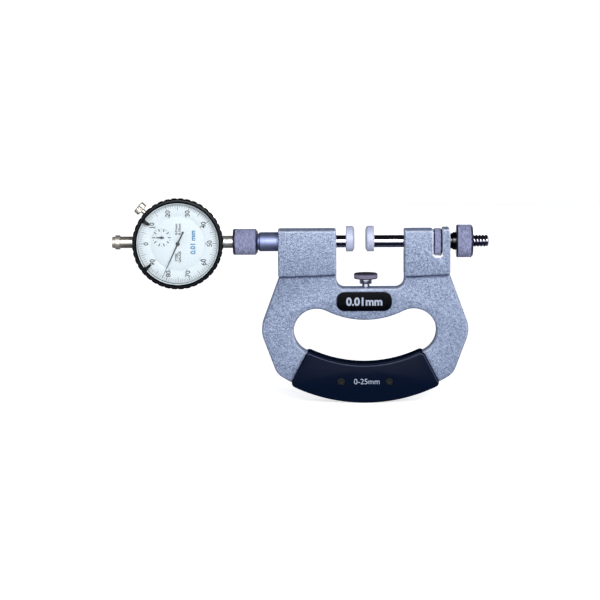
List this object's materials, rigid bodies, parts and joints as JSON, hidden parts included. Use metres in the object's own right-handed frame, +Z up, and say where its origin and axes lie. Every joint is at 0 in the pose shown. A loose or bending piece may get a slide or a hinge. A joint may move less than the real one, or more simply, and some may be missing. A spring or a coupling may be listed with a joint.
{
  "type": "dial snap gauge",
  "caption": "Snap gauge with a C-shaped frame, sprung anvil read by a dial indicator, adjustable spindle with feed wheel and clamp nut, work stop and insulated hand grip.",
  "frame": {"origin": "centre of the sprung anvil's measuring face, on the measuring line", "axes": "+X runs along the measuring line from the sprung anvil to the adjustable spindle, +Z is up from the grip to the measuring line, and the dial faces -Y"},
  "size_m": [0.2402, 0.0349, 0.1319],
  "materials": {
    "hammer_paint": "hammertone",
    "black_plate": "gloss",
    "grip_plastic": "satin",
    "screw_steel": "satin",
    "bright_chrome": "polished",
    "ground_steel": "ground",
    "hard_tip": "lapped",
    "knurled_steel": "knurled",
    "black_steel": "black oxide",
    "spring_steel": "satin",
    "warm_nickel": "satin",
    "case_paint": "satin black",
    "bezel_black": "satin black",
    "clear_crystal": "clear",
    "dial_white": "matte white",
    "marker_black": "satin",
    "gear_brass": "satin",
    "hand_dark": "satin"
  },
  "bodies": {
    "frame_body": {"frame": "hammer_paint", "badge_plate": "black_plate", "front_grip": "grip_plastic", "rear_grip": "grip_plastic", "grip_screws": "screw_steel", "grip_nuts": "screw_steel", "anvil_sleeve": "bright_chrome", "stem_collet": "ground_steel", "anvil_guide_bush": "ground_steel", "anvil_key_screw": "black_steel", "anvil_spring": "spring_steel", "spindle_guide_bush": "ground_steel", "spindle_key_screw": "black_steel", "clamp_collet": "black_steel"},
    "anvil": {"anvil_spindle": "bright_chrome", "anvil_disc": "ground_steel", "anvil_tip": "hard_tip", "anvil_collar": "ground_steel"},
    "stem_nut": {"stem_clamp_nut": "knurled_steel"},
    "spindle": {"spindle": "bright_chrome", "spindle_disc": "ground_steel", "spindle_tip": "hard_tip"},
    "feed_wheel": {"feed_wheel": "knurled_steel"},
    "clamp_nut": {"clamp_nut": "knurled_steel"},
    "work_stop": {"stop_screw": "black_steel"},
    "stop_knob": {"stop_knob": "knurled_steel"},
    "indicator": {"indicator_case": "case_paint", "indicator_stem": "warm_nickel", "upper_tube": "warm_nickel", "dust_cap": "warm_nickel", "back_cover": "case_paint", "cover_screws": "screw_steel", "movement_plate": "gear_brass", "movement_bridge": "gear_brass", "rear_plate": "gear_brass", "dial_centre": "dial_white", "plunger_spring": "spring_steel", "hairspring": "spring_steel"},
    "bezel": {"bezel": "bezel_black", "crystal": "clear_crystal", "scale_ring": "dial_white"},
    "marker_low": {"limit_marker_low": "marker_black"},
    "marker_high": {"limit_marker_high": "marker_black"},
    "bezel_clamp": {"bezel_clamp_screw": "screw_steel"},
    "plunger": {"plunger": "ground_steel", "contact_point": "hard_tip", "plunger_pin": "spring_steel", "plunger_collar": "ground_steel"},
    "rack_arbor": {"rack_pinion": "spring_steel", "rack_gear": "gear_brass"},
    "centre_arbor": {"centre_pinion": "spring_steel", "main_hand": "hand_dark"},
    "counter_arbor": {"counter_arbor": "spring_steel", "counter_gear": "gear_brass", "counter_hand": "hand_dark"}
  },
  "joints": [
    {"name": "anvil_slide", "type": "slide", "parent": "frame_body", "child": "anvil", "axis": [-1, 0, 0], "range_m": [0, 0.002], "stiffness_N_per_m": 500, "springref_m": -0.003, "deforming": ["anvil_spring"]},
    {"name": "indicator_swivel", "type": "hinge", "parent": "frame_body", "child": "indicator", "pos_m": [-0.0774, 0, 0], "axis": [1, 0, 0], "continuous": true},
    {"name": "plunger_slide", "type": "slide", "parent": "indicator", "child": "plunger", "axis": [-1, 0, 0], "range_m": [0, 0.002], "deforming": ["plunger_spring"]},
    {"name": "main_hand_turn", "type": "hinge", "parent": "indicator", "child": "centre_arbor", "pos_m": [-0.1124, -0.008, 0], "axis": [0, 1, 0], "range_deg": [-1, 721]},
    {"name": "rack_arbor_turn", "type": "hinge", "parent": "indicator", "child": "rack_arbor", "pos_m": [-0.10201, 0, -0.0036], "axis": [0, 1, 0], "range_deg": [-72.5, 0.5]},
    {"name": "counter_turn", "type": "hinge", "parent": "indicator", "child": "counter_arbor", "pos_m": [-0.12269, -0.006, 0.0039], "axis": [0, 1, 0], "range_deg": [-72.5, 0.5], "deforming": ["hairspring"]},
    {"name": "bezel_turn", "type": "hinge", "parent": "indicator", "child": "bezel", "pos_m": [-0.1124, -0.011, 0], "axis": [0, -1, 0], "continuous": true},
    {"name": "marker_low_turn", "type": "hinge", "parent": "bezel", "child": "marker_low", "pos_m": [-0.1124, -0.0134, 0], "axis": [0, -1, 0], "range_deg": [-24, 140]},
    {"name": "marker_high_turn", "type": "hinge", "parent": "bezel", "child": "marker_high", "pos_m": [-0.1124, -0.0134, 0], "axis": [0, -1, 0], "range_deg": [-130, 24]},
    {"name": "bezel_clamp_turn", "type": "hinge", "parent": "indicator", "child": "bezel_clamp", "pos_m": [-0.13522, -0.0042, 0.02098], "axis": [-0.7361, 0, 0.6769], "range_deg": [0, 180]},
    {"name": "stem_nut_turn", "type": "hinge", "parent": "frame_body", "child": "stem_nut", "pos_m": [-0.0694, 0, 0], "axis": [1, 0, 0], "range_deg": [0, 90]},
    {"name": "feed_wheel_turn", "type": "hinge", "parent": "frame_body", "child": "feed_wheel", "pos_m": [0.053, 0, 0], "axis": [1, 0, 0], "range_deg": [-3241, 1243]},
    {"name": "spindle_feed", "type": "slide", "parent": "frame_body", "child": "spindle", "axis": [1, 0, 0], "range_m": [-0.0069, 0.018]},
    {"name": "clamp_nut_turn", "type": "hinge", "parent": "frame_body", "child": "clamp_nut", "pos_m": [0.0702, 0, 0], "axis": [1, 0, 0], "range_deg": [0, 180]},
    {"name": "work_stop_slide", "type": "slide", "parent": "frame_body", "child": "work_stop", "axis": [0, 0, 1], "range_m": [-0.002, 0.008]},
    {"name": "stop_knob_turn", "type": "hinge", "parent": "work_stop", "child": "stop_knob", "pos_m": [0.0072, 0, -0.022], "axis": [0, 0, 1], "range_deg": [-901, 3601]}
  ],
  "couplings": [
    {"joint": "plunger_slide", "follows": "anvil_slide", "ratio": 1},
    {"joint": "main_hand_turn", "follows": "anvil_slide", "rad_per_m": 6283.2},
    {"joint": "rack_arbor_turn", "follows": "anvil_slide", "rad_per_m": -628.32},
    {"joint": "counter_turn", "follows": "anvil_slide", "rad_per_m": -628.32},
    {"joint": "feed_wheel_turn", "follows": "spindle_feed", "rad_per_m": -3141.6},
    {"joint": "stop_knob_turn", "follows": "work_stop_slide", "rad_per_m": 7854}
  ]
}
